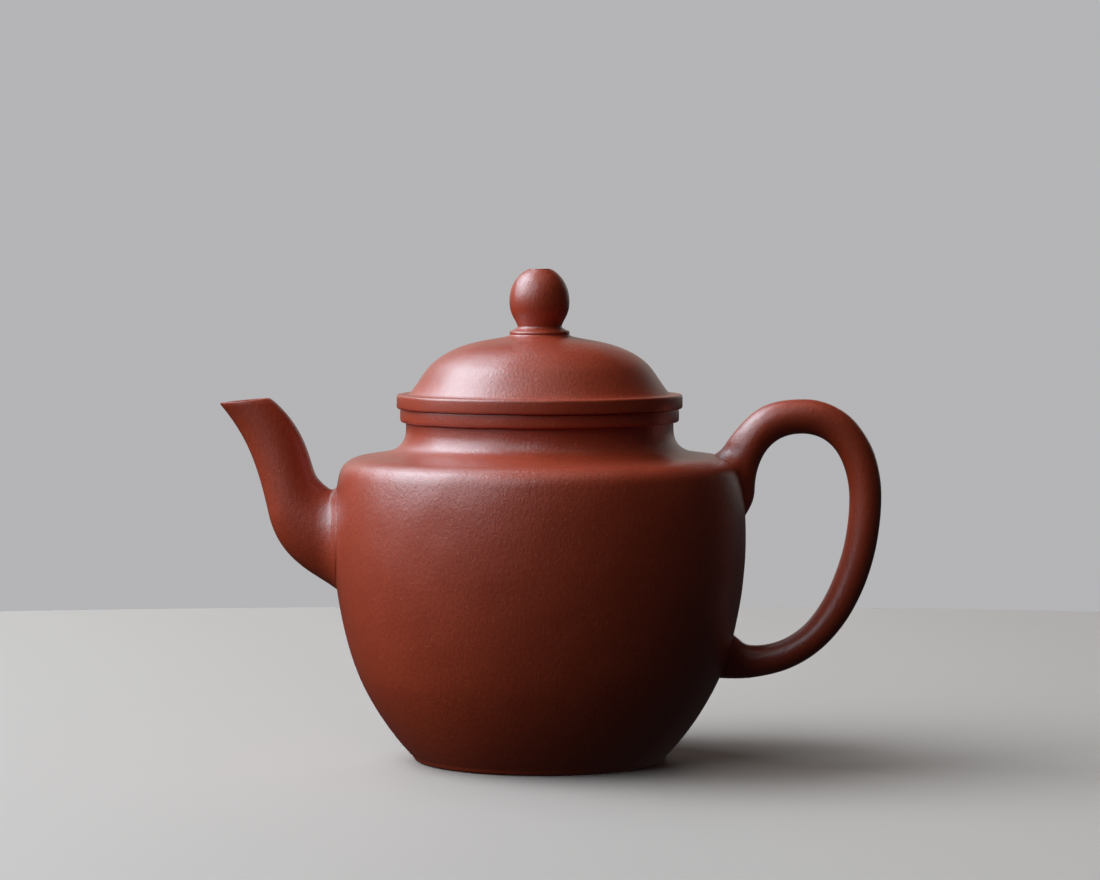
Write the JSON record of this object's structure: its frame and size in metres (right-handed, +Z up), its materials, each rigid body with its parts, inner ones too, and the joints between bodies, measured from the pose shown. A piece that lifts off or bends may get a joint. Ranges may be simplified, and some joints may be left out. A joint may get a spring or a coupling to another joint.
{
  "type": "clay teapot",
  "caption": "Small unglazed stoneware teapot with a flat-shouldered drum body, swan-neck spout, ear-shaped handle and a domed lid with a ball knob that lifts out of the neck.",
  "frame": {"origin": "centre of the flat base, on the pot's upright axis, at the surface it stands on", "axes": "+Z up along the pot's axis, +X from the axis towards the handle, so the spout points along -X"},
  "size_m": [0.1406, 0.0876, 0.1042],
  "materials": {
    "clay": "satin"
  },
  "bodies": {
    "pot": {"body_wall": "clay", "base_disc": "clay", "shoulder_plate": "clay", "neck": "clay", "mouth_ring": "clay", "spout": "clay", "strainer": "clay", "handle": "clay"},
    "lid": {"lid_rim": "clay", "lid_dome": "clay", "lid_collar": "clay", "knob_ring": "clay", "knob": "clay"}
  },
  "joints": [
    {"name": "lid_lift", "type": "slide", "parent": "pot", "child": "lid", "axis": [0, 0, 1], "range_m": [0, 0.06]}
  ]
}
